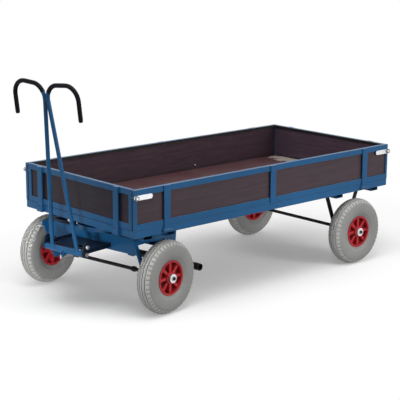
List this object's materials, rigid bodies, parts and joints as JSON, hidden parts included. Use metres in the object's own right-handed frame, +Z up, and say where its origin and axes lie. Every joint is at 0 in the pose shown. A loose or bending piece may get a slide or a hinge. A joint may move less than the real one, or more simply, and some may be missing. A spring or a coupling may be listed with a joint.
{
  "type": "hand-pulled platform wagon",
  "caption": "Hand-pulled platform wagon: plywood deck in a steel frame, drop side walls, lift-out end walls, a steered front bogie with a hook-handled drawbar and a parking brake.",
  "frame": {"origin": "centre of the deck's top face", "axes": "+X towards the drawbar along the deck, +Y to the wagon's left, +Z up"},
  "size_m": [2.2934, 1.0497, 1.2487],
  "materials": {
    "blue_paint": "gloss",
    "dark_steel": "satin",
    "zinc_plate": "satin",
    "bearing_steel": "polished",
    "deck_plywood": "film-faced",
    "wall_plywood": "film-faced",
    "grey_tyre": "matte",
    "red_rim": "semi-gloss",
    "black_plug": "matte"
  },
  "bodies": {
    "chassis": {"side_rail_left": "blue_paint", "side_rail_right": "blue_paint", "end_rail_front": "blue_paint", "end_rail_rear": "blue_paint", "load_deck": "deck_plywood", "cross_members": "blue_paint", "carrier_bars": "blue_paint", "turntable_upper_ring": "blue_paint", "rear_axle_brackets": "dark_steel", "rear_axle": "dark_steel", "rear_axle_spacers": "dark_steel", "rear_axle_clips": "zinc_plate", "side_hinge_lugs": "blue_paint", "side_hinge_pins": "zinc_plate", "stake_pockets": "blue_paint"},
    "bogie": {"turntable_lower_ring": "blue_paint", "turntable_balls": "bearing_steel", "bogie_channels": "blue_paint", "front_axle_brackets": "blue_paint", "front_axle": "dark_steel", "front_axle_spacers": "dark_steel", "front_axle_clips": "zinc_plate", "drawbar_arms": "blue_paint", "stop_bolts": "zinc_plate", "drawbar_pivot_rod": "zinc_plate", "pivot_collars": "dark_steel", "brake_hangers": "blue_paint"},
    "drawbar": {"drawbar_cross_tube": "blue_paint", "handle_tube_left": "blue_paint", "handle_tube_right": "blue_paint", "handle_plugs": "black_plug", "brake_lug": "blue_paint"},
    "brake": {"brake_tube": "dark_steel", "brake_arms": "blue_paint", "brake_clevis": "blue_paint"},
    "push_rod": {"brake_push_rod": "zinc_plate"},
    "side_wall_left": {"side_frame_left": "blue_paint", "side_panel_left": "wall_plywood"},
    "side_wall_right": {"side_frame_right": "blue_paint", "side_panel_right": "wall_plywood"},
    "end_wall_front": {"end_frame_front": "blue_paint", "end_panel_front": "wall_plywood"},
    "end_wall_rear": {"end_frame_rear": "blue_paint", "end_panel_rear": "wall_plywood"},
    "wheel_front_left": {"tyre_front_left": "grey_tyre", "rim_front_left": "red_rim", "hub_front_left": "zinc_plate"},
    "latch_front_left": {"latch_lever_front_left": "zinc_plate"},
    "wheel_front_right": {"tyre_front_right": "grey_tyre", "rim_front_right": "red_rim", "hub_front_right": "zinc_plate"},
    "latch_front_right": {"latch_lever_front_right": "zinc_plate"},
    "wheel_rear_left": {"tyre_rear_left": "grey_tyre", "rim_rear_left": "red_rim", "hub_rear_left": "zinc_plate"},
    "latch_rear_left": {"latch_lever_rear_left": "zinc_plate"},
    "wheel_rear_right": {"tyre_rear_right": "grey_tyre", "rim_rear_right": "red_rim", "hub_rear_right": "zinc_plate"},
    "latch_rear_right": {"latch_lever_rear_right": "zinc_plate"}
  },
  "joints": [
    {"name": "steer", "type": "hinge", "parent": "chassis", "child": "bogie", "pos_m": [0.821, 0, -0.104], "axis": [0, 0, 1], "range_deg": [-36, 20]},
    {"name": "drawbar_swing", "type": "hinge", "parent": "bogie", "child": "drawbar", "pos_m": [1.12056, 0.0421, -0.18], "axis": [-0.1392, 0.9903, 0], "range_deg": [0, 82.5]},
    {"name": "brake_swing", "type": "hinge", "parent": "bogie", "child": "brake", "pos_m": [0.56873, -0.03546, -0.10182], "axis": [-0.1392, 0.9903, 0], "range_deg": [0, 20]},
    {"name": "push_rod_pivot", "type": "hinge", "parent": "brake", "child": "push_rod", "pos_m": [0.58831, -0.0327, -0.214], "axis": [-0.1392, 0.9903, 0], "range_deg": [-20, 0]},
    {"name": "wheel_front_left_spin", "type": "hinge", "parent": "bogie", "child": "wheel_front_left", "pos_m": [0.75837, 0.44562, -0.31], "axis": [-0.1392, 0.9903, 0], "continuous": true},
    {"name": "wheel_front_right_spin", "type": "hinge", "parent": "bogie", "child": "wheel_front_right", "pos_m": [0.88363, -0.44562, -0.31], "axis": [-0.1392, 0.9903, 0], "continuous": true},
    {"name": "wheel_rear_left_spin", "type": "hinge", "parent": "chassis", "child": "wheel_rear_left", "pos_m": [-0.75, 0.45, -0.31], "axis": [0, 1, 0], "continuous": true},
    {"name": "wheel_rear_right_spin", "type": "hinge", "parent": "chassis", "child": "wheel_rear_right", "pos_m": [-0.75, -0.45, -0.31], "axis": [0, 1, 0], "continuous": true},
    {"name": "side_wall_left_drop", "type": "hinge", "parent": "chassis", "child": "side_wall_left", "pos_m": [0, 0.4948, -0.038], "axis": [-1, 0, 0], "range_deg": [0, 155]},
    {"name": "side_wall_right_drop", "type": "hinge", "parent": "chassis", "child": "side_wall_right", "pos_m": [0, -0.4948, -0.038], "axis": [1, 0, 0], "range_deg": [0, 155]},
    {"name": "end_wall_front_lift", "type": "slide", "parent": "chassis", "child": "end_wall_front", "axis": [0, 0, 1], "range_m": [0, 0.05]},
    {"name": "end_wall_rear_lift", "type": "slide", "parent": "chassis", "child": "end_wall_rear", "axis": [0, 0, 1], "range_m": [0, 0.05]},
    {"name": "latch_front_left_turn", "type": "hinge", "parent": "side_wall_left", "child": "latch_front_left", "pos_m": [0.993, 0.487, 0.16], "axis": [0, -1, 0], "range_deg": [0, 90]},
    {"name": "latch_front_right_turn", "type": "hinge", "parent": "side_wall_right", "child": "latch_front_right", "pos_m": [0.993, -0.487, 0.16], "axis": [0, -1, 0], "range_deg": [0, 90]},
    {"name": "latch_rear_left_turn", "type": "hinge", "parent": "side_wall_left", "child": "latch_rear_left", "pos_m": [-0.993, 0.487, 0.16], "axis": [0, 1, 0], "range_deg": [0, 90]},
    {"name": "latch_rear_right_turn", "type": "hinge", "parent": "side_wall_right", "child": "latch_rear_right", "pos_m": [-0.993, -0.487, 0.16], "axis": [0, 1, 0], "range_deg": [0, 90]}
  ],
  "couplings": [
    {"joint": "brake_swing", "follows": "drawbar_swing", "ratio": 0.24242},
    {"joint": "push_rod_pivot", "follows": "drawbar_swing", "ratio": -0.24242}
  ]
}
